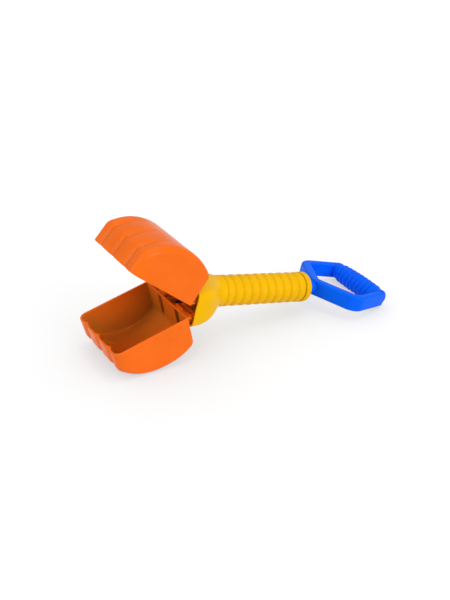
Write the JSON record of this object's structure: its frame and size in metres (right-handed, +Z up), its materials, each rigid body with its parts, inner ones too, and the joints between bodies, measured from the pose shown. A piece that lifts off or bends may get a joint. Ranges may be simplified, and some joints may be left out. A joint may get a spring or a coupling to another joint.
{
  "type": "sand grabber toy",
  "caption": "Sand toy with hinged clamshell scoops on a ribbed hollow arm, worked by pulling a sliding D-handle with a ribbed grip.",
  "frame": {"origin": "on the ground under the middle of the toy's box, at rest with the jaws open", "axes": "+X along the arm from the scoops to the handle, +Y across the toy, +Z up"},
  "size_m": [0.42, 0.1232, 0.1629],
  "materials": {
    "scoop_orange": "satin moulded orange plastic",
    "arm_yellow": "satin moulded yellow plastic",
    "handle_blue": "satin moulded blue plastic",
    "pin_black": "matte black nylon",
    "screw_steel": "zinc-plated steel"
  },
  "bodies": {
    "arm": {"arm_shell_near": "arm_yellow", "arm_shell_far": "arm_yellow", "end_cap": "arm_yellow", "upper_hinge_pin": "pin_black", "lower_hinge_pin": "pin_black", "shell_screws": "screw_steel"},
    "handle": {"d_handle": "handle_blue", "push_rod": "handle_blue", "drive_pin": "pin_black", "handle_screw": "screw_steel"},
    "upper_jaw": {"upper_scoop": "scoop_orange"},
    "lower_jaw": {"lower_scoop": "scoop_orange"}
  },
  "joints": [
    {"name": "handle_slide", "type": "slide", "parent": "arm", "child": "handle", "axis": [0.9824, 0, -0.1869], "range_m": [0, 0.016]},
    {"name": "upper_jaw_hinge", "type": "hinge", "parent": "arm", "child": "upper_jaw", "pos_m": [-0.09342, 0, 0.08339], "axis": [0, -1, 0], "range_deg": [0, 26.5]},
    {"name": "lower_jaw_hinge", "type": "hinge", "parent": "arm", "child": "lower_jaw", "pos_m": [-0.09866, 0, 0.05588], "axis": [0, 1, 0], "range_deg": [0, 26.5]}
  ],
  "couplings": [
    {"joint": "upper_jaw_hinge", "follows": "handle_slide", "rad_per_m": 28.907},
    {"joint": "lower_jaw_hinge", "follows": "handle_slide", "rad_per_m": 28.907}
  ]
}
